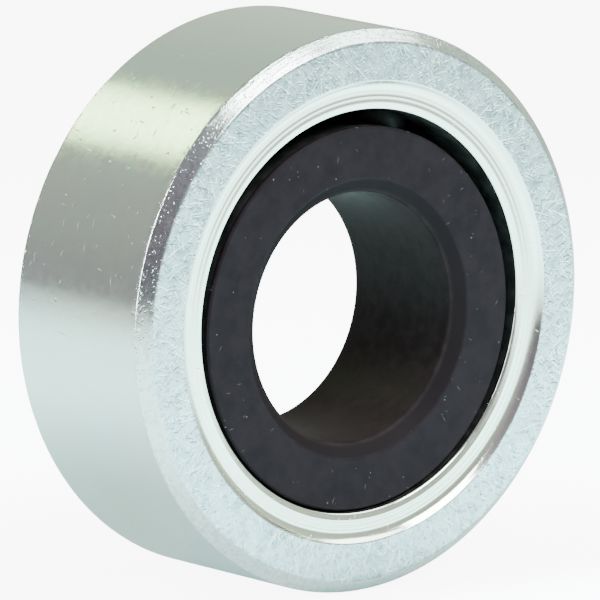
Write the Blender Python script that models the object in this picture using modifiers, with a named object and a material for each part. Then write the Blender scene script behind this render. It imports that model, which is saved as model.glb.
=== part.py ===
"""Ball-bearing cam follower: a thick plated roller ring on a black inner ring, over a full set of loose balls.

Units are metres, +Z is up. The turning axis lies along Y and the front is at -Y. The origin is on the bore's
axis, halfway along the inner ring. The rings have radial play, so the inner ring hangs below the roller
ring's axis by SAG, as it does when the roller ring stands on a surface.
"""

import math

import bmesh
import bpy

MM = 0.001

# Roller (outer) ring
ROLLER_RADIUS = 22.5 * MM
ROLLER_WIDTH = 16.7 * MM
ROLLER_CORNER = 1.0 * MM            # 45 degree corner between the rim and each face
RECESS_RIM_RADIUS = 18.45 * MM      # where the flat face slopes down into the recess
RECESS_FLOOR_RADIUS = 17.67 * MM    # outer edge of the recess floor
RECESS_LIP_RADIUS = 16.5 * MM       # where the floor turns into the hole's edge
HOLE_RADIUS = 16.1 * MM
RECESS_DEPTH = 0.5 * MM
HOLE_EDGE_DEPTH = 0.9 * MM

# Inner ring
BORE_RADIUS = 10.0 * MM
INNER_LAND_RADIUS = 15.3 * MM
INNER_WIDTH = 13.4 * MM
INNER_EDGE_BREAK = 0.15 * MM
BORE_MOUTH_RADIUS = 11.2 * MM
BORE_MOUTH_DEPTH = 0.9 * MM
FRONT_SET_BACK = 0.9 * MM           # the inner ring's front face below the roller ring's front face

# Balls and their tracks
BALL_COUNT = 15
BALL_RADIUS = 3.175 * MM            # quarter-inch balls
PITCH_RADIUS = 15.65 * MM
TRACK_ARC_RADIUS = 3.3 * MM
TRACK_CLEARANCE = 0.08 * MM
SAG = 0.62 * MM                     # half of the radial play, taken up downwards

# Fineness of the turned surfaces
TURN_STEPS = 72
TRACK_STEPS = 12
MERGE_DISTANCE = 0.00001

ROLLER_FRONT = INNER_WIDTH / 2 + FRONT_SET_BACK     # heights along the axis, from the ball plane
ROLLER_BACK = ROLLER_FRONT - ROLLER_WIDTH


def clear_scene():
    for item in list(bpy.data.objects):
        bpy.data.objects.remove(item, do_unlink=True)


def make_collection(name):
    collection = bpy.data.collections.new(name)
    bpy.context.scene.collection.children.link(collection)
    return collection


def make_material(name, colour, roughness, metallic):
    material = bpy.data.materials.new(name)
    material.use_nodes = True
    shader = material.node_tree.nodes["Principled BSDF"]
    shader.inputs["Base Color"].default_value = (*colour, 1.0)
    shader.inputs["Roughness"].default_value = roughness
    shader.inputs["Metallic"].default_value = metallic
    return material


def arc(centre_radius, centre_height, radius, start_deg, end_deg, steps):
    """Points (radius, height) along an arc of the section; 0 degrees points outwards, 90 up."""
    points = []
    for i in range(steps + 1):
        angle = math.radians(start_deg + (end_deg - start_deg) * i / steps)
        points.append((centre_radius + radius * math.cos(angle), centre_height + radius * math.sin(angle)))
    return points


def flip(points):
    """The same stretch of section mirrored in the ball plane, in the order that carries on round the section."""
    return [(radius, -height) for radius, height in reversed(points)]


def raised(points, height):
    return [(radius, h + height) for radius, h in points]


def turned(name, section, material, collection):
    """A ring turned from a closed section of (radius, height) points that runs down its outer side."""
    mesh = bpy.data.meshes.new(name)
    count = len(section)
    edges = [(i, (i + 1) % count) for i in range(count)]
    mesh.from_pydata([(radius, 0.0, height) for radius, height in section], edges, [])
    mesh.materials.append(material)
    ring = bpy.data.objects.new(name, mesh)
    collection.objects.link(ring)
    screw = ring.modifiers.new("turn", "SCREW")
    screw.axis = "Z"
    screw.angle = math.tau
    screw.steps = TURN_STEPS
    screw.render_steps = TURN_STEPS
    screw.use_merge_vertices = True
    screw.merge_threshold = MERGE_DISTANCE
    screw.use_smooth_shade = False
    ring.rotation_euler = (math.pi / 2, 0.0, 0.0)       # height runs towards the front, -Y
    return ring


def track_arc(bottom_radius, land_radius, side):
    """The ball track's arc, from its edge nearer the front to its edge nearer the back.

    side is +1 for the roller ring's track, which bulges outwards, and -1 for the inner ring's.
    """
    centre = bottom_radius - side * TRACK_ARC_RADIUS
    edge = math.degrees(math.acos(side * (land_radius - centre) / TRACK_ARC_RADIUS))
    if side > 0:
        return arc(centre, 0.0, TRACK_ARC_RADIUS, edge, -edge, TRACK_STEPS)
    return arc(centre, 0.0, TRACK_ARC_RADIUS, 180 - edge, 180 + edge, TRACK_STEPS)


def roller_face():
    """One face of the roller ring, from its rim to its hole, with heights measured from that face."""
    return [
        (ROLLER_RADIUS, -ROLLER_CORNER),
        (ROLLER_RADIUS - ROLLER_CORNER, 0.0),
        (RECESS_RIM_RADIUS, 0.0),
        (RECESS_FLOOR_RADIUS, -RECESS_DEPTH),
        (RECESS_LIP_RADIUS, -RECESS_DEPTH),
        (HOLE_RADIUS, -HOLE_EDGE_DEPTH),
    ]


def make_roller_ring(material, collection):
    front = raised(roller_face(), ROLLER_FRONT)
    back = [(radius, ROLLER_BACK - height) for radius, height in reversed(roller_face())]
    track = track_arc(PITCH_RADIUS + BALL_RADIUS + TRACK_CLEARANCE, HOLE_RADIUS, 1)
    section = list(reversed(front + track + back))
    ring = turned("outer_ring", section, material, collection)
    ring.location = (0.0, 0.0, SAG)
    return ring


def make_inner_ring(material, collection):
    top = INNER_WIDTH / 2
    front = [
        (BORE_RADIUS, top - BORE_MOUTH_DEPTH),
        (BORE_MOUTH_RADIUS, top),
        (INNER_LAND_RADIUS - INNER_EDGE_BREAK, top),
        (INNER_LAND_RADIUS, top - INNER_EDGE_BREAK),
    ]
    track = track_arc(PITCH_RADIUS - BALL_RADIUS - SAG - TRACK_CLEARANCE, INNER_LAND_RADIUS, -1)
    return turned("inner_ring", front + track + flip(front), material, collection)


def make_balls(material, collection):
    """A full set of balls, evenly spaced round the roller ring's axis on one parent empty."""
    axis = bpy.data.objects.new("ball_set_axis", None)
    collection.objects.link(axis)
    axis.location = (0.0, 0.0, SAG)
    mesh = bpy.data.meshes.new("ball")
    shape = bmesh.new()
    bmesh.ops.create_icosphere(shape, subdivisions=3, radius=BALL_RADIUS)
    shape.to_mesh(mesh)
    shape.free()
    mesh.materials.append(material)
    mesh.shade_smooth()
    for i in range(BALL_COUNT):
        angle = math.tau * i / BALL_COUNT
        ball = bpy.data.objects.new(f"ball_{i + 1:02d}", mesh)
        collection.objects.link(ball)
        ball.parent = axis
        ball.location = (PITCH_RADIUS * math.sin(angle), 0.0, PITCH_RADIUS * math.cos(angle))
        ball.rotation_euler = (0.0, angle, 0.0)


def main():
    clear_scene()
    collection = make_collection("cam_follower")
    zinc = make_material("zinc_plated_steel", (0.62, 0.64, 0.63), 0.3, 1.0)
    black = make_material("black_oxide_steel", (0.045, 0.045, 0.05), 0.55, 0.3)
    bearing = make_material("bearing_steel", (0.6, 0.6, 0.6), 0.12, 1.0)
    make_roller_ring(zinc, collection)
    make_inner_ring(black, collection)
    make_balls(bearing, collection)


main()
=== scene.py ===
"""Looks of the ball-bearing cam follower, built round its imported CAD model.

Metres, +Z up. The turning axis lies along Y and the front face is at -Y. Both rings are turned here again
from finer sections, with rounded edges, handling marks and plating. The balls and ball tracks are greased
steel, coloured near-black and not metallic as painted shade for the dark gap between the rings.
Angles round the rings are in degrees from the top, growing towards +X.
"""

import math
import random

import bpy
import numpy as np
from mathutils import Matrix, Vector


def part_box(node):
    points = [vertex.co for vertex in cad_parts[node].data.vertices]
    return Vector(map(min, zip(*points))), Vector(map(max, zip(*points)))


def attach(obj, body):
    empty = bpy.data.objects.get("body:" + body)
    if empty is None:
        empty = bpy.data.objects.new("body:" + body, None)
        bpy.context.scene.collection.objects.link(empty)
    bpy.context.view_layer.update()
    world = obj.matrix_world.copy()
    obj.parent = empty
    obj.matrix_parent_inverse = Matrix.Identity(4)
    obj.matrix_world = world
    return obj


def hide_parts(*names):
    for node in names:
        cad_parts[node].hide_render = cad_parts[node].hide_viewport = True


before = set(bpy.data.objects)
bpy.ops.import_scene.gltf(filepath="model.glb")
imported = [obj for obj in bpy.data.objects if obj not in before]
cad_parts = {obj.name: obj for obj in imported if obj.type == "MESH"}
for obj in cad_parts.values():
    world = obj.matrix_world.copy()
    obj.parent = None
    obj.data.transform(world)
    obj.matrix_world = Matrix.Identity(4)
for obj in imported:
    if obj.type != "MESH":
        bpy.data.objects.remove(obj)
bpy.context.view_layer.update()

MM = 0.001

# Places taken from the CAD solids
ring_low, ring_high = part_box("outer_ring")
ROLLER_RADIUS = (ring_high.x - ring_low.x) / 2
ROLLER_AXIS = (ring_high.z + ring_low.z) / 2
ROLLER_FRONT, ROLLER_BACK = ring_low.y, ring_high.y
inner_low, inner_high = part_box("inner_ring")
LAND_RADIUS = (inner_high.x - inner_low.x) / 2
INNER_AXIS = (inner_high.z + inner_low.z) / 2
INNER_FRONT, INNER_BACK = inner_low.y, inner_high.y
BALLS = sorted(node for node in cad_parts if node.startswith("ball_"))

# Roller ring section, with the bevel, the grooves and the rounded edges that the CAD leaves out
ROLLER_CORNER = 1.0 * MM
RECESS_RIM_RADIUS = 18.43 * MM
RECESS_FLOOR_RADIUS = 17.93 * MM            # where the steep wall would meet the floor without its fillet
HOLE_RADIUS = 16.06 * MM
RECESS_DEPTH = 0.5 * MM
HOLE_BEVEL_RADIUS = 16.62 * MM              # where the floor starts to dip towards the hole
HOLE_BEVEL_DEPTH = 0.12 * MM
HOLE_EDGE_DEPTH = 0.9 * MM
GROOVE_RADII = (17.3 * MM, 16.92 * MM)      # two faint turned grooves in the recess floor
GROOVE_HALF_WIDTH = 0.12 * MM
GROOVE_DEPTH = 0.034 * MM
CORNER_OUTER_ROUND = 0.3 * MM
CORNER_INNER_ROUND = 0.35 * MM
RECESS_RIM_ROUND = 0.2 * MM
RECESS_FILLET = 0.95 * MM
CREASE_ROUND = 0.12 * MM                    # where the floor meets the bevel
HOLE_EDGE_ROUND = 0.28 * MM

# Inner ring section
BORE_RADIUS = 10.0 * MM
BORE_MOUTH_RADIUS = 11.2 * MM
BORE_MOUTH_DEPTH = 0.9 * MM
INNER_EDGE_BREAK = 0.15 * MM
INNER_EDGE_ROUND = 0.12 * MM
BORE_MOUTH_ROUND = 0.3 * MM

# Balls and tracks
BALL_RADIUS = 3.175 * MM
PITCH_RADIUS = 15.65 * MM
TRACK_ARC_RADIUS = 3.3 * MM
TRACK_CLEARANCE = 0.08 * MM
SAG = ROLLER_AXIS - INNER_AXIS

# Handling marks: how many there are on each face, and the side of the roller ring where most of them lie
FRONT_DINGS, BACK_DINGS, INNER_NICKS = 90, 40, 26
WORN_SIDE_DEG = 300

# Fineness of the meshes
ROLLER_SEGMENTS = 540
INNER_SEGMENTS = 400
ROUND_STEP_DEG = 11.0
EDGE_SUPPORT = 0.05 * MM
RIM_STEP = 0.7 * MM
FACE_STEP = 0.25 * MM

# Camera: the viewing angle, and the front face's centre seen a little right of and below the middle
CAMERA_AZIMUTH = math.radians(-39.3)
CAMERA_ELEVATION = math.radians(10.4)
CAMERA_DISTANCE = 862 * MM
CAMERA_SHIFT_LEFT = 5.22 * MM
CAMERA_SHIFT_UP = 1.01 * MM
LENS_MM = 657.0
SENSOR_MM = 36.0

rng = random.Random(11)


# ---------------------------------------------------------------- sections

def arc(centre_radius, centre_y, radius, start_deg, end_deg):
    """Points (radius, y) along an arc of the section; 0 degrees points outwards, 90 towards +Y."""
    steps = max(2, math.ceil(abs(end_deg - start_deg) / ROUND_STEP_DEG))
    points = []
    for i in range(steps + 1):
        angle = math.radians(start_deg + (end_deg - start_deg) * i / steps)
        points.append((centre_radius + radius * math.cos(angle), centre_y + radius * math.sin(angle)))
    return points


def rounded(before, corner, after, radius):
    """The arc that rounds one corner of a section, from the side of before to the side of after."""
    corner = Vector(corner)
    to_before = (Vector(before) - corner).normalized()
    to_after = (Vector(after) - corner).normalized()
    half = to_before.angle(to_after) / 2
    centre = corner + (to_before + to_after).normalized() * radius / math.sin(half)
    start = corner + to_before * radius / math.tan(half) - centre
    end = corner + to_after * radius / math.tan(half) - centre
    start_deg = math.degrees(math.atan2(start.y, start.x))
    turn = math.degrees(math.atan2(start.x * end.y - start.y * end.x, start.dot(end)))
    return arc(centre.x, centre.y, radius, start_deg, start_deg + turn)


def round_off(corners):
    """An open section through corners of (radius, y, rounding); its two ends stay sharp."""
    points = [corners[0][:2]]
    for before, corner, after in zip(corners, corners[1:], corners[2:]):
        if corner[2]:
            points += rounded(before[:2], corner[:2], after[:2], corner[2])
        else:
            points.append(corner[:2])
    return points + [corners[-1][:2]]


def filled_in(section, step):
    """The section with long straight stretches divided, and held flat by a point close to each end."""
    points = []
    for start, end in zip(section, section[1:] + section[:1]):
        start, end = Vector(start), Vector(end)
        length = (end - start).length
        points.append(tuple(start))
        if length > 4 * EDGE_SUPPORT:
            along = (end - start) / length
            inner_length = length - 2 * EDGE_SUPPORT
            parts = max(1, math.ceil(inner_length / step(start, end)))
            for i in range(parts + 1):
                points.append(tuple(start + along * (EDGE_SUPPORT + inner_length * i / parts)))
    return points


def track_arc(bottom_radius, land_radius, side):
    """A ball track from front to back: side +1 bulges outwards, -1 inwards."""
    centre = bottom_radius - side * TRACK_ARC_RADIUS
    edge = math.degrees(math.acos(side * (land_radius - centre) / TRACK_ARC_RADIUS))
    middle = 0 if side > 0 else 180
    return arc(centre, 0.0, TRACK_ARC_RADIUS, middle - side * edge, middle + side * edge)


def roller_face(face_y, inwards):
    """One face of the roller ring, from its rim to its hole. inwards is the Y direction into the ring."""
    corners = [
        (ROLLER_RADIUS, face_y + inwards * 2 * ROLLER_CORNER, 0),
        (ROLLER_RADIUS, face_y + inwards * ROLLER_CORNER, CORNER_OUTER_ROUND),
        (ROLLER_RADIUS - ROLLER_CORNER, face_y, CORNER_INNER_ROUND),
        (RECESS_RIM_RADIUS, face_y, RECESS_RIM_ROUND),
        (RECESS_FLOOR_RADIUS, face_y + inwards * RECESS_DEPTH, RECESS_FILLET),
    ]
    for radius in GROOVE_RADII:
        corners += [
            (radius + GROOVE_HALF_WIDTH, face_y + inwards * RECESS_DEPTH, 0),
            (radius, face_y + inwards * (RECESS_DEPTH + GROOVE_DEPTH), 0),
            (radius - GROOVE_HALF_WIDTH, face_y + inwards * RECESS_DEPTH, 0),
        ]
    corners += [
        (HOLE_BEVEL_RADIUS, face_y + inwards * RECESS_DEPTH, CREASE_ROUND),
        (HOLE_RADIUS, face_y + inwards * (RECESS_DEPTH + HOLE_BEVEL_DEPTH), HOLE_EDGE_ROUND),
        (HOLE_RADIUS, face_y + inwards * 2 * HOLE_EDGE_DEPTH, 0),
    ]
    return round_off(corners)


def roller_section():
    front = roller_face(ROLLER_FRONT, 1)
    track = track_arc(PITCH_RADIUS + BALL_RADIUS + TRACK_CLEARANCE, HOLE_RADIUS, 1)
    back = roller_face(ROLLER_BACK, -1)

    def step(start, end):
        return RIM_STEP if min(start.x, end.x) > ROLLER_RADIUS - EDGE_SUPPORT else FACE_STEP

    return filled_in(front + track + back[::-1], step)


def inner_section():
    def face(face_y, inwards):
        return round_off([
            (BORE_RADIUS, face_y + inwards * 2 * BORE_MOUTH_DEPTH, 0),
            (BORE_RADIUS, face_y + inwards * BORE_MOUTH_DEPTH, BORE_MOUTH_ROUND),
            (BORE_MOUTH_RADIUS, face_y, BORE_MOUTH_ROUND),
            (LAND_RADIUS - INNER_EDGE_BREAK, face_y, INNER_EDGE_ROUND),
            (LAND_RADIUS, face_y + inwards * INNER_EDGE_BREAK, INNER_EDGE_ROUND / 2),
            (LAND_RADIUS, face_y + inwards * 3 * INNER_EDGE_BREAK, 0),
        ])

    track = track_arc(PITCH_RADIUS - BALL_RADIUS - SAG - TRACK_CLEARANCE, LAND_RADIUS, -1)
    section = face(INNER_FRONT, 1) + track + face(INNER_BACK, -1)[::-1]
    return filled_in(section, lambda start, end: FACE_STEP)


# ---------------------------------------------------------------- meshes

def turned(name, section, axis_height, segments, materials, surface_of, marks):
    """A ring turned from a closed section of (radius, y) points round an axis along Y.

    surface_of says which material a stretch has, from its middle, and marks moves the points into dents.
    """
    outline = np.array(section)
    along = np.roll(outline, -1, axis=0) - np.roll(outline, 1, axis=0)
    outward = np.stack([along[:, 1], -along[:, 0]], axis=1)
    outward /= np.linalg.norm(outward, axis=1, keepdims=True)
    area = np.sum(outline[:, 0] * np.roll(outline[:, 1], -1) - np.roll(outline[:, 0], -1) * outline[:, 1])
    outward *= np.sign(area)

    angle = np.arange(segments) * math.tau / segments
    sine, cosine = np.sin(angle)[:, None], np.cos(angle)[:, None]

    def spun(pairs):
        radial, axial = pairs[None, :, 0], pairs[None, :, 1]
        return np.stack([radial * sine, axial + 0 * sine, radial * cosine], axis=2)

    points = spun(outline)
    marks(points, spun(outward))

    count = len(section)
    here = np.arange(segments)[:, None] * count
    there = (np.arange(segments) + 1)[:, None] % segments * count
    point, following = np.arange(count)[None, :], (np.arange(count) + 1)[None, :] % count
    faces = np.stack([here + point, here + following, there + following, there + point], axis=2)
    if area > 0:
        faces = faces[:, :, ::-1]

    mesh = bpy.data.meshes.new(name)
    mesh.from_pydata(points.reshape(-1, 3).tolist(), [], faces.reshape(-1, 4).tolist())
    for material in materials:
        mesh.materials.append(material)
    middles = (outline + np.roll(outline, -1, axis=0)) / 2
    slots = [surface_of(radius, y) for radius, y in middles]
    mesh.polygons.foreach_set("material_index", np.tile(slots, segments))
    mesh.shade_smooth()
    ring = bpy.data.objects.new(name, mesh)
    bpy.context.scene.collection.objects.link(ring)
    ring.location = (0.0, 0.0, axis_height)
    return ring


def press_in(points, normals, angle_deg, radius, y, size, depth):
    """A dent of that size and depth round one place on the surface."""
    angle = math.radians(angle_deg)
    centre = np.array([radius * math.sin(angle), y, radius * math.cos(angle)])
    gap = np.linalg.norm(points - centre, axis=2)
    points -= normals * (depth * np.exp(-((gap / size) ** 2)))[:, :, None]


def roller_marks(points, normals):
    """The rim's slight waviness, and the dings along the edges of both corners."""
    radius = np.hypot(points[:, :, 0], points[:, :, 2])
    angle = np.arctan2(points[:, :, 0], points[:, :, 2])
    rim = np.clip((radius - ROLLER_RADIUS) / (0.3 * MM) + 1, 0, 1)
    wave = np.zeros_like(radius)
    for _ in range(9):
        turns, pitch, phase = rng.randint(7, 38), rng.uniform(80, 600), rng.uniform(0, math.tau)
        wave += np.sin(turns * angle + pitch * points[:, :, 1] + phase)
    points -= normals * (rim * (wave + 9) * 0.0005 * MM)[:, :, None]

    for face_y, inwards, dings in ((ROLLER_FRONT, 1, FRONT_DINGS), (ROLLER_BACK, -1, BACK_DINGS)):
        for i in range(dings):
            spot = rng.gauss(WORN_SIDE_DEG, 20) if i % 4 else rng.uniform(0, 360)
            size, depth = rng.uniform(0.16, 0.4) * MM, rng.uniform(0.004, 0.018) * MM
            if rng.random() < 0.75:
                place = ROLLER_RADIUS, face_y + inwards * (ROLLER_CORNER + rng.uniform(-0.25, 0.25) * MM)
            else:
                place = ROLLER_RADIUS - ROLLER_CORNER + rng.uniform(-0.3, 0.4) * MM, face_y
            press_in(points, normals, spot, *place, size, depth)


def inner_marks(points, normals):
    """Handling nicks in both faces of the inner ring and round its bore mouths."""
    for face_y in (INNER_FRONT, INNER_BACK):
        for _ in range(INNER_NICKS):
            spot, radius = rng.gauss(285, 45), rng.uniform(BORE_MOUTH_RADIUS, LAND_RADIUS)
            size, depth = rng.uniform(0.15, 0.4) * MM, rng.uniform(0.01, 0.05) * MM
            press_in(points, normals, spot, radius, face_y, size, depth)


def make_roller(materials):
    rim, face, recess, track = range(4)

    def surface_of(radius, y):
        depth = min(y - ROLLER_FRONT, ROLLER_BACK - y)
        if radius > ROLLER_RADIUS - ROLLER_CORNER:
            return rim
        if radius > RECESS_RIM_RADIUS:
            return face
        if depth < RECESS_DEPTH + HOLE_BEVEL_DEPTH + HOLE_EDGE_ROUND:
            return recess
        return track

    ring = turned(
        "roller_ring", roller_section(), ROLLER_AXIS, ROLLER_SEGMENTS, materials, surface_of, roller_marks,
    )
    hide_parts("outer_ring")
    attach(ring, "roller")


def make_hub(materials):
    face, bore, track = range(3)

    def surface_of(radius, y):
        depth = min(y - INNER_FRONT, INNER_BACK - y)
        if radius < BORE_MOUTH_RADIUS - BORE_MOUTH_ROUND / 2:
            return bore
        return face if depth < 3 * INNER_EDGE_BREAK else track

    ring = turned(
        "stud_ring", inner_section(), INNER_AXIS, INNER_SEGMENTS, materials, surface_of, inner_marks,
    )
    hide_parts("inner_ring")
    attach(ring, "hub")


def make_balls(material):
    """Smooth balls in the places of the CAD's, on one shared mesh."""
    mesh = bpy.data.meshes.new("grease_and_shade_ball")
    rows, columns = 20, 32
    points = [(0.0, 0.0, BALL_RADIUS)]
    for row in range(1, rows):
        tilt = math.pi * row / rows
        for column in range(columns):
            turn = math.tau * column / columns
            points.append((
                BALL_RADIUS * math.sin(tilt) * math.cos(turn),
                BALL_RADIUS * math.sin(tilt) * math.sin(turn),
                BALL_RADIUS * math.cos(tilt),
            ))
    points.append((0.0, 0.0, -BALL_RADIUS))
    last = len(points) - 1
    faces = []
    for column in range(columns):
        beside = (column + 1) % columns
        faces.append((0, 1 + column, 1 + beside))
        faces.append((last, last - columns + beside, last - columns + column))
        for row in range(rows - 2):
            upper, lower = 1 + row * columns, 1 + (row + 1) * columns
            faces.append((upper + column, lower + column, lower + beside, upper + beside))
    mesh.from_pydata(points, [], faces)
    mesh.materials.append(material)
    mesh.shade_smooth()
    for node in BALLS:
        low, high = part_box(node)
        ball = bpy.data.objects.new("grease_and_shade_" + node, mesh)
        bpy.context.scene.collection.objects.link(ball)
        ball.location = (low + high) / 2
        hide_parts(node)
        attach(ball, "ball_set")


# ---------------------------------------------------------------- materials

# Radii, in millimetres, at which the marks on a face have their true length round the axis
FACE_MIDDLE_MM, RECESS_MIDDLE_MM, INNER_FACE_MIDDLE_MM = 20.0, 17.5, 13.0

MIX_COLOUR_A, MIX_COLOUR_B, MIX_RESULT = 6, 7, 2     # the Mix node's sockets for colours


class Nodes:
    """A material's or the world's node tree, with short calls for the nodes used here."""

    def __init__(self, tree):
        self.tree = tree

    def add(self, kind, inputs, **settings):
        node = self.tree.nodes.new(kind)
        for key, value in settings.items():
            setattr(node, key, value)
        for key, value in inputs.items():
            if isinstance(value, bpy.types.NodeSocket):
                self.tree.links.new(value, node.inputs[key])
            else:
                node.inputs[key].default_value = value
        return node

    def math(self, operation, a, b=0.0):
        return self.add("ShaderNodeMath", {0: a, 1: b}, operation=operation).outputs[0]

    def total(self, values):
        result = values[0]
        for value in values[1:]:
            result = self.math("ADD", result, value)
        return result

    def ramp(self, value, low, high, out_low=0.0, out_high=1.0):
        inputs = {"Value": value, "From Min": low, "From Max": high, "To Min": out_low, "To Max": out_high}
        return self.add("ShaderNodeMapRange", inputs, interpolation_type="SMOOTHSTEP").outputs["Result"]

    def mix(self, share, a, b):
        """Colour a where share is 0 and b where it is 1, each a node's output or three numbers."""
        first, second = [(*colour, 1.0) if isinstance(colour, tuple) else colour for colour in (a, b)]
        inputs = {"Factor": share, MIX_COLOUR_A: first, MIX_COLOUR_B: second}
        return self.add("ShaderNodeMix", inputs, data_type="RGBA").outputs[MIX_RESULT]

    def vector(self, x, y, z):
        return self.add("ShaderNodeCombineXYZ", {0: x, 1: y, 2: z}).outputs[0]

    def scaled(self, parts, scales):
        """A point made of three parts, each times its own scale, which draws noise out into lines."""
        return self.vector(*[self.math("MULTIPLY", part, scale) for part, scale in zip(parts, scales)])

    def noise(self, point, scale, detail=3.0, roughness=0.55):
        inputs = {"Vector": point, "Scale": scale, "Detail": detail, "Roughness": roughness}
        return self.add("ShaderNodeTexNoise", inputs).outputs["Fac"]

    def length(self, a, b):
        return self.math("SQRT", self.math("ADD", self.math("MULTIPLY", a, a), self.math("MULTIPLY", b, b)))

    def place(self):
        """The place in millimetres, its three parts and its radius, and its angle round the axis."""
        coordinates = self.add("ShaderNodeTexCoord", {}).outputs["Object"]
        inputs = {0: coordinates, "Scale": 1 / MM}
        point = self.add("ShaderNodeVectorMath", inputs, operation="SCALE").outputs[0]
        parts = self.add("ShaderNodeSeparateXYZ", {0: point}).outputs
        radius = self.length(parts[0], parts[2])
        turn = self.math("ARCTAN2", parts[0], parts[2])
        return point, parts, radius, turn

    def strokes(self, across, along, length, width, tilt_deg, share, seed):
        """Short straight marks, 1 on a mark and 0 beside it. Their length runs along, before the tilt."""
        reach = 0.3     # the largest half length and half width, as shares of the patch that a mark has
        flat = self.vector(across, along, 0.0)
        inputs = {"Vector": flat, "Angle": math.radians(tilt_deg)}
        swung = self.add("ShaderNodeVectorRotate", inputs, rotation_type="Z_AXIS").outputs[0]
        patch = (2 * reach / width, 2 * reach / length, 1.0)
        inputs = {0: swung, 1: patch, 2: (seed * 3.7, seed * 9.1, 0.0)}
        stretched = self.add("ShaderNodeVectorMath", inputs, operation="MULTIPLY_ADD").outputs[0]
        inputs = {"Vector": stretched, "Scale": 1.0}
        cells = self.add("ShaderNodeTexVoronoi", inputs, voronoi_dimensions="2D")
        chance = self.add("ShaderNodeSeparateColor", {0: cells.outputs["Color"]}).outputs
        kept = self.math("LESS_THAN", chance[0], share)
        size = self.ramp(chance[1], 0.0, 1.0, 0.4 * reach, reach)
        mark = self.math("SUBTRACT", 1.0, self.math("DIVIDE", cells.outputs["Distance"], size))
        return self.math("MULTIPLY", self.math("MAXIMUM", mark, 0.0), kept)

    def bump(self, height_mm):
        return self.add("ShaderNodeBump", {"Height": height_mm, "Distance": MM, "Strength": 1.0}).outputs[0]


def new_material(name, metallic, specular=0.5):
    material = bpy.data.materials.new(name)
    material.use_nodes = True
    shader = material.node_tree.nodes["Principled BSDF"]
    shader.inputs["Metallic"].default_value = metallic
    shader.inputs["Specular IOR Level"].default_value = specular
    return material, shader, Nodes(material.node_tree)


def finish_material(nodes, shader, colour, roughness, height):
    nodes.tree.links.new(colour, shader.inputs["Base Color"])
    nodes.tree.links.new(roughness, shader.inputs["Roughness"])
    nodes.tree.links.new(nodes.bump(height), shader.inputs["Normal"])


def chromate(nodes, point):
    """The plating's colour: pale zinc with faint blue, green and pink films."""
    drift = nodes.noise(point, 0.11, 2.0)
    elsewhere = nodes.add("ShaderNodeVectorMath", {0: point, 1: (40.0, 7.0, 3.0)}).outputs[0]
    cast = nodes.noise(elsewhere, 0.17, 2.0)
    bluish = nodes.mix(nodes.ramp(drift, 0.35, 0.65), (0.66, 0.75, 0.755), (0.70, 0.77, 0.715))
    return nodes.mix(nodes.ramp(cast, 0.5, 0.75, 0.0, 0.6), bluish, (0.735, 0.745, 0.745))


def zinc_rim():
    """The rim and corners: faint lathe lines, a few scratches, pressed specks and flecks of wear."""
    material, shader, nodes = new_material("zinc_rim", 1.0)
    point, parts, _, turn = nodes.place()
    around = nodes.math("MULTIPLY", turn, ROLLER_RADIUS / MM)
    lathe = nodes.noise(nodes.scaled(parts, (0.04, 9.0, 0.04)), 1.0, 4.0, 0.7)
    cloud = nodes.noise(point, 1.3, 4.0)
    ripple = nodes.noise(point, 0.35, 2.0)
    scratches = nodes.total([
        nodes.strokes(parts[1], around, 1.3, 0.18, 8, 0.035, 1),
        nodes.strokes(parts[1], around, 0.8, 0.15, -24, 0.03, 2),
        nodes.strokes(parts[1], around, 1.2, 0.15, 78, 0.015, 3),
    ])
    specks = nodes.strokes(parts[1], around, 0.4, 0.3, 30, 0.035, 4)
    from_front = nodes.math("SUBTRACT", parts[1], ROLLER_FRONT / MM)
    from_back = nodes.math("SUBTRACT", ROLLER_BACK / MM, parts[1])
    depth = nodes.math("MINIMUM", from_front, from_back)
    off_edge = nodes.math("ABSOLUTE", nodes.math("SUBTRACT", depth, ROLLER_CORNER / MM))
    edge = nodes.ramp(off_edge, 0.15, 0.6, 1.0, 0.0)
    knocked = nodes.ramp(nodes.noise(point, 0.16, 2.0), 0.28, 0.45)
    knocks = nodes.total([
        nodes.strokes(parts[1], around, 0.24, 0.14, 20, 0.5, 21),
        nodes.strokes(parts[1], around, 0.6, 0.15, -8, 0.35, 22),
    ])
    knocks = nodes.math("MULTIPLY", knocks, nodes.math("MULTIPLY", edge, knocked))
    corner = nodes.ramp(depth, ROLLER_CORNER / MM, ROLLER_CORNER / MM + 0.25, 1.0, 0.0)
    drawn_out = nodes.vector(nodes.math("MULTIPLY", around, 0.3), nodes.math("MULTIPLY", depth, 5.0), 3.0)
    scaly = nodes.noise(drawn_out, 1.0, 5.0)
    flecks = nodes.total([
        nodes.strokes(depth, around, 0.5, 0.13, 6, 0.5, 23),
        nodes.strokes(depth, around, 0.24, 0.15, -30, 0.45, 24),
    ])
    worn_corner = nodes.math("MULTIPLY", corner, nodes.total([
        nodes.math("MULTIPLY", scaly, 0.03), nodes.math("MULTIPLY", flecks, -0.014),
    ]))
    colour = nodes.mix(nodes.math("MULTIPLY", scratches, 0.5), chromate(nodes, point), (0.92, 0.94, 0.93))
    dull = nodes.math("MULTIPLY", corner, nodes.ramp(nodes.noise(point, 2.4, 4.0), 0.45, 0.65, 0.0, 0.55))
    colour = nodes.mix(dull, colour, (0.44, 0.51, 0.53))
    polish = nodes.ramp(cloud, 0.3, 0.7, 0.13, 0.19)
    roughness = nodes.total([polish, nodes.math("MULTIPLY", scratches, 0.2)])
    height = nodes.total([
        nodes.math("MULTIPLY", lathe, 0.0014),
        nodes.math("MULTIPLY", cloud, 0.006),
        nodes.math("MULTIPLY", ripple, 0.012),
        nodes.math("MULTIPLY", scratches, -0.012),
        nodes.math("MULTIPLY", specks, -0.015),
        nodes.math("MULTIPLY", knocks, -0.02),
        worn_corner,
    ])
    finish_material(nodes, shader, colour, roughness, height)
    return material


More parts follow.
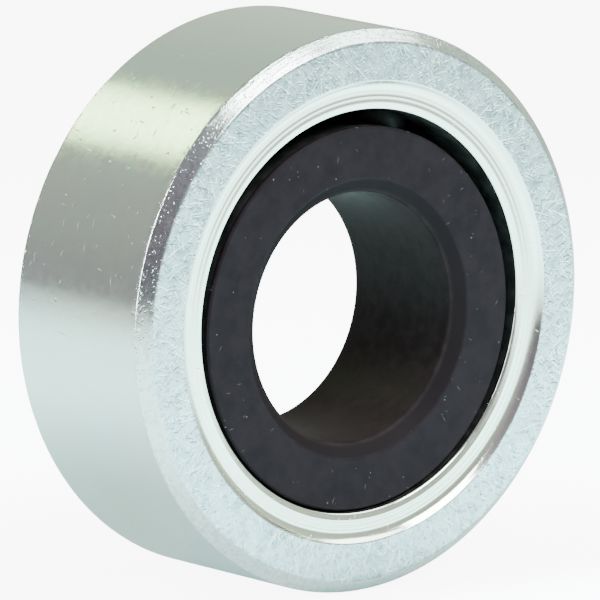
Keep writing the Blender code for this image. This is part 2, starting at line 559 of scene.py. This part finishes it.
def zinc_face():
    """The flat faces: plated over pale and dark scratches that cross each other, on a cloudy ground."""
    material, shader, nodes = new_material("zinc_face", 1.0)
    point, _, radius, turn = nodes.place()
    around = nodes.math("MULTIPLY", turn, FACE_MIDDLE_MM)
    cloud = nodes.noise(point, 0.9, 4.0)
    blotch = nodes.noise(point, 2.2, 3.0)
    grain = nodes.noise(point, 6.0, 3.0)
    bright = nodes.total([
        nodes.strokes(around, radius, 2.4, 0.22, 14, 0.6, 5),
        nodes.strokes(around, radius, 1.6, 0.2, -30, 0.65, 6),
        nodes.strokes(around, radius, 1.2, 0.2, 55, 0.6, 7),
        nodes.strokes(around, radius, 0.8, 0.2, -64, 0.6, 8),
        nodes.strokes(around, radius, 0.5, 0.2, 80, 0.5, 9),
        nodes.strokes(around, radius, 4.4, 0.26, 38, 0.16, 25),
        nodes.strokes(around, radius, 3.6, 0.26, -46, 0.16, 26),
    ])
    dark = nodes.total([
        nodes.strokes(around, radius, 1.8, 0.22, -16, 0.6, 17),
        nodes.strokes(around, radius, 1.2, 0.24, 26, 0.6, 18),
        nodes.strokes(around, radius, 0.8, 0.24, -50, 0.6, 19),
        nodes.strokes(around, radius, 0.4, 0.3, 0, 0.5, 10),
    ])
    worn = nodes.ramp(nodes.noise(point, 0.13, 2.0), 0.35, 0.6, 0.6, 1.0)
    bright = nodes.math("MULTIPLY", bright, worn)
    dark = nodes.math("MULTIPLY", dark, worn)
    shade = nodes.mix(nodes.ramp(cloud, 0.38, 0.62), (0.32, 0.385, 0.42), (0.58, 0.65, 0.68))
    blue_film = nodes.ramp(nodes.noise(point, 0.16, 2.0), 0.45, 0.65, 0.0, 0.6)
    violet_film = nodes.ramp(nodes.noise(point, 0.37, 2.0), 0.5, 0.65, 0.0, 0.5)
    shade = nodes.mix(blue_film, shade, (0.48, 0.59, 0.68))
    shade = nodes.mix(violet_film, shade, (0.58, 0.55, 0.63))
    shade = nodes.mix(nodes.ramp(blotch, 0.45, 0.65, 0.0, 0.45), shade, (0.62, 0.68, 0.70))
    shade = nodes.mix(nodes.ramp(dark, 0.0, 0.8, 0.0, 0.7), shade, (0.25, 0.27, 0.31))
    colour = nodes.mix(nodes.ramp(bright, 0.0, 0.8, 0.0, 0.8), shade, (0.90, 0.96, 0.98))
    roughness = nodes.ramp(cloud, 0.3, 0.7, 0.26, 0.34)
    height = nodes.total([
        nodes.math("MULTIPLY", cloud, 0.02),
        nodes.math("MULTIPLY", grain, 0.006),
        nodes.math("MULTIPLY", bright, -0.013),
        nodes.math("MULTIPLY", dark, -0.014),
    ])
    finish_material(nodes, shader, colour, roughness, height)
    return material


def zinc_recess():
    """The recess wall, floor and hole's edge: bright, smooth, with fine lines round the axis."""
    material, shader, nodes = new_material("zinc_recess", 1.0)
    point, parts, radius, turn = nodes.place()
    around = nodes.math("MULTIPLY", turn, RECESS_MIDDLE_MM)
    lines = nodes.noise(nodes.scaled((radius, parts[0], parts[2]), (9.0, 0.06, 0.06)), 1.0, 4.0, 0.65)
    cloud = nodes.noise(point, 1.6, 4.0)
    nicks = nodes.strokes(around, radius, 0.5, 0.12, 35, 0.08, 12)
    colour = nodes.mix(nodes.ramp(lines, 0.55, 0.75, 0.0, 0.35), (0.86, 0.88, 0.80), (0.76, 0.77, 0.67))
    roughness = nodes.ramp(cloud, 0.3, 0.7, 0.11, 0.17)
    height = nodes.total([
        nodes.math("MULTIPLY", lines, 0.004),
        nodes.math("MULTIPLY", cloud, 0.003),
        nodes.math("MULTIPLY", nicks, -0.01),
    ])
    finish_material(nodes, shader, colour, roughness, height)
    return material


def track_steel():
    """The unground ball tracks, near-black under old grease and as painted shade for the dark gap between
    the rings.
    """
    material, shader, nodes = new_material("track_steel", 0.0, 0.1)
    point, parts, _, _ = nodes.place()
    smear = nodes.noise(point, 0.8, 4.0)
    rolled = nodes.noise(nodes.scaled(parts, (0.2, 7.0, 0.2)), 1.0, 3.0)
    # Near-black colours, not metallic: old grease together with painted shade that darkens the gap between
    # the rings.
    colour = nodes.mix(nodes.ramp(smear, 0.35, 0.65), (0.012, 0.012, 0.012), (0.03, 0.029, 0.028))
    roughness = nodes.ramp(smear, 0.3, 0.7, 0.45, 0.65)
    height = nodes.total([nodes.math("MULTIPLY", rolled, 0.002), nodes.math("MULTIPLY", smear, 0.01)])
    finish_material(nodes, shader, colour, roughness, height)
    return material


def ball_steel():
    """Hard balls, near-black and not metallic: grease that lies thicker in patches, and painted shade for
    the dark gap between the rings.
    """
    material, shader, nodes = new_material("grease_and_shade_steel", 0.0, 0.15)
    point, _, _, _ = nodes.place()
    smear = nodes.noise(point, 0.5, 4.0)
    # Near-black colours: grease together with painted shade for the gap between the rings.
    colour = nodes.mix(nodes.ramp(smear, 0.4, 0.6), (0.010, 0.010, 0.010), (0.024, 0.023, 0.022))
    roughness = nodes.ramp(smear, 0.35, 0.65, 0.42, 0.16)
    finish_material(nodes, shader, colour, roughness, nodes.math("MULTIPLY", smear, 0.01))
    return material


def black_face():
    """Matt black oxide on the inner ring's faces, with pale specks and nicks that show bare steel."""
    material, shader, nodes = new_material("black_face", 0.0, 0.05)
    point, _, radius, turn = nodes.place()
    around = nodes.math("MULTIPLY", turn, INNER_FACE_MIDDLE_MM)
    cloud = nodes.noise(point, 0.7, 4.0)
    grain = nodes.noise(point, 7.0, 3.0)
    specks = nodes.strokes(around, radius, 0.22, 0.17, 20, 0.012, 14)
    nicks = nodes.total([
        nodes.strokes(around, radius, 0.7, 0.16, 15, 0.02, 15),
        nodes.strokes(around, radius, 0.6, 0.15, -50, 0.015, 16),
    ])
    bare = nodes.total([specks, nodes.math("MULTIPLY", nicks, 0.3)])
    dull = nodes.mix(nodes.ramp(cloud, 0.3, 0.7), (0.0120, 0.0076, 0.0102), (0.0176, 0.0115, 0.0152))
    colour = nodes.mix(bare, dull, (0.16, 0.16, 0.17))
    roughness = nodes.ramp(cloud, 0.3, 0.7, 0.5, 0.62)
    height = nodes.total([
        nodes.math("MULTIPLY", cloud, 0.010),
        nodes.math("MULTIPLY", grain, 0.0035),
        nodes.math("MULTIPLY", nicks, -0.012),
    ])
    finish_material(nodes, shader, colour, roughness, height)
    return material


def black_bore():
    """The bore and its rounded mouth: smoother black oxide with fine lines from turning."""
    material, shader, nodes = new_material("black_bore", 0.0, 0.02)
    point, parts, radius, _ = nodes.place()
    lines = nodes.noise(nodes.scaled(parts, (0.08, 8.0, 0.08)), 1.0, 4.0, 0.65)
    cloud = nodes.noise(point, 0.8, 4.0)
    inside = nodes.mix(nodes.ramp(cloud, 0.3, 0.7), (0.0178, 0.0122, 0.0138), (0.0266, 0.0184, 0.0204))
    mouth = nodes.ramp(radius, BORE_RADIUS / MM + 0.1, BORE_RADIUS / MM + 0.4)
    colour = nodes.mix(mouth, inside, (0.0140, 0.0096, 0.0114))
    roughness = nodes.ramp(cloud, 0.3, 0.7, 0.40, 0.50)
    height = nodes.total([nodes.math("MULTIPLY", lines, 0.003), nodes.math("MULTIPLY", cloud, 0.008)])
    finish_material(nodes, shader, colour, roughness, height)
    return material


# ---------------------------------------------------------------- stage

def direction(azimuth_deg, elevation_deg):
    """A unit vector from the object; azimuth 0 points to the front, -Y, and 90 to +X."""
    azimuth, elevation = math.radians(azimuth_deg), math.radians(elevation_deg)
    return Vector((
        math.sin(azimuth) * math.cos(elevation),
        -math.cos(azimuth) * math.cos(elevation),
        math.sin(elevation),
    ))


def make_camera():
    data = bpy.data.cameras.new("camera")
    data.lens = LENS_MM
    data.sensor_width = SENSOR_MM
    data.clip_start = 0.05
    camera = bpy.data.objects.new("camera", data)
    bpy.context.scene.collection.objects.link(camera)
    back = direction(math.degrees(CAMERA_AZIMUTH), math.degrees(CAMERA_ELEVATION))
    right = Vector((0.0, 0.0, 1.0)).cross(back).normalized()
    up = back.cross(right)
    face_centre = Vector((0.0, ROLLER_FRONT, ROLLER_AXIS))
    camera.location = face_centre + back * CAMERA_DISTANCE
    camera.location += up * CAMERA_SHIFT_UP - right * CAMERA_SHIFT_LEFT
    camera.rotation_euler = back.to_track_quat("Z", "Y").to_euler()
    bpy.context.scene.camera = camera


def make_floor():
    """A pale sheet under the roller, overexposed to white where the camera sees it directly.

    Its glow is the light that it gives back: weak close round the roller, which shades it, stronger in
    front and on the right, and fading far off. The glow's distances are in millimetres.
    """
    sides, reach, gap = 96, 4.0, 0.02 * MM
    angles = [math.tau * i / sides for i in range(sides)]
    rim = [(reach * math.cos(angle), reach * math.sin(angle), 0.0) for angle in angles]
    mesh = bpy.data.meshes.new("pale_sheet")
    mesh.from_pydata(rim, [], [tuple(range(sides))])
    floor = bpy.data.objects.new("pale_sheet", mesh)
    bpy.context.scene.collection.objects.link(floor)
    floor.location = (0.0, 0.0, ring_low.z - gap)
    material = bpy.data.materials.new("pale_sheet")
    material.use_nodes = True
    nodes = Nodes(material.node_tree)
    nodes.tree.nodes.clear()
    paper = nodes.add("ShaderNodeBsdfDiffuse", {"Color": (0.50, 0.52, 0.52, 1.0)}).outputs[0]
    _, parts, _, _ = nodes.place()
    distance = nodes.length(parts[0], parts[1])
    around = nodes.ramp(distance, 10.0, 60.0, 0.5, 2.2)
    in_front = nodes.ramp(parts[1], -20.0, -8.0, 2.8, 0.0)
    to_right = nodes.ramp(parts[0], -50.0, 0.0, 0.25, 1.0)
    near = nodes.total([around, nodes.math("MULTIPLY", in_front, to_right)])
    fading = nodes.math("POWER", nodes.math("DIVIDE", distance, 170.0), 4.0)
    pool = nodes.math("DIVIDE", near, nodes.math("ADD", fading, 1.0))
    inputs = {"Color": (0.52, 1.0, 0.98, 1.0), "Strength": pool}
    glow = nodes.add("ShaderNodeEmission", inputs).outputs[0]
    seen = nodes.add("ShaderNodeLightPath", {}).outputs["Is Camera Ray"]
    inputs = {"Color": (1.0, 0.9, 0.92, 1.0), "Strength": nodes.math("MULTIPLY", seen, 8.0)}
    white = nodes.add("ShaderNodeEmission", inputs).outputs[0]
    lit = nodes.add("ShaderNodeAddShader", {0: paper, 1: glow}).outputs[0]
    surface = nodes.add("ShaderNodeAddShader", {0: lit, 1: white}).outputs[0]
    nodes.add("ShaderNodeOutputMaterial", {"Surface": surface})
    material.cycles.emission_sampling = "NONE"
    mesh.materials.append(material)


def make_room():
    """A dim room, brighter on the right than on the left, with a soft window high behind the roller."""
    world = bpy.data.worlds.new("room")
    world.use_nodes = True
    nodes = Nodes(world.node_tree)
    nodes.tree.nodes.clear()
    bearing = nodes.add("ShaderNodeTexCoord", {}).outputs["Generated"]

    def towards(azimuth_deg, elevation_deg):
        inputs = {0: bearing, 1: tuple(direction(azimuth_deg, elevation_deg))}
        return nodes.add("ShaderNodeVectorMath", inputs, operation="DOT_PRODUCT").outputs["Value"]

    def patch(azimuth_deg, elevation_deg, inner_deg, outer_deg, radiance):
        outer, inner = math.cos(math.radians(outer_deg)), math.cos(math.radians(inner_deg))
        return nodes.ramp(towards(azimuth_deg, elevation_deg), outer, inner, 0.0, radiance)

    side = towards(100, 0)
    inputs = {"Value": side, "From Min": -1.0, "From Max": 1.0, "To Min": 0.13, "To Max": 1.05}
    room = nodes.add("ShaderNodeMapRange", inputs).outputs["Result"]
    window = nodes.total([
        patch(-168, 38, 1, 11.5, 7.5), patch(-156, 26, 2, 30, 0.1), patch(168, 15, 10, 70, 0.14),
    ])
    tint = nodes.mix(nodes.ramp(side, -0.7, 0.2), (1.08, 0.95, 1.12), (0.86, 1.0, 0.84))
    glow = nodes.add("ShaderNodeBackground", {"Color": tint, "Strength": room}).outputs[0]
    inputs = {"Color": (0.72, 1.0, 0.45, 1.0), "Strength": window}
    daylight = nodes.add("ShaderNodeBackground", inputs).outputs[0]
    surface = nodes.add("ShaderNodeAddShader", {0: glow, 1: daylight}).outputs[0]
    nodes.add("ShaderNodeOutputWorld", {"Surface": surface})
    bpy.context.scene.world = world


def softbox(name, azimuth_deg, elevation_deg, width_deg, height_deg, distance, radiance, colour):
    """A rectangular soft light facing the object, sized by the angles that it fills as seen from there."""
    width = 2 * distance * math.tan(math.radians(width_deg) / 2)
    height = 2 * distance * math.tan(math.radians(height_deg) / 2)
    data = bpy.data.lights.new(name, "AREA")
    data.shape = "RECTANGLE"
    data.size, data.size_y = width, height
    data.energy = radiance * math.pi * width * height
    data.color = colour
    light = bpy.data.objects.new(name, data)
    bpy.context.scene.collection.objects.link(light)
    towards = direction(azimuth_deg, elevation_deg)
    light.location = Vector((0.0, 0.0, ROLLER_AXIS)) + towards * distance
    light.rotation_euler = towards.to_track_quat("Z", "Y").to_euler()


def make_lights():
    """The key light high in front, a weaker one to its right, and a tall strip for the left edges."""
    softbox("key", 14, 53, 30, 30, 1.5, 18.0, (0.90, 1.0, 0.94))
    softbox("fill_right", 71, 48, 26, 24, 1.5, 7.0, (0.88, 1.0, 0.94))
    softbox("edge_left", -92, 20, 12, 44, 0.8, 30.0, (1.0, 1.0, 1.0))


def main():
    make_camera()
    make_room()
    make_lights()
    make_floor()
    track = track_steel()
    make_roller([zinc_rim(), zinc_face(), zinc_recess(), track])
    make_hub([black_face(), black_bore(), track])
    make_balls(ball_steel())


main()
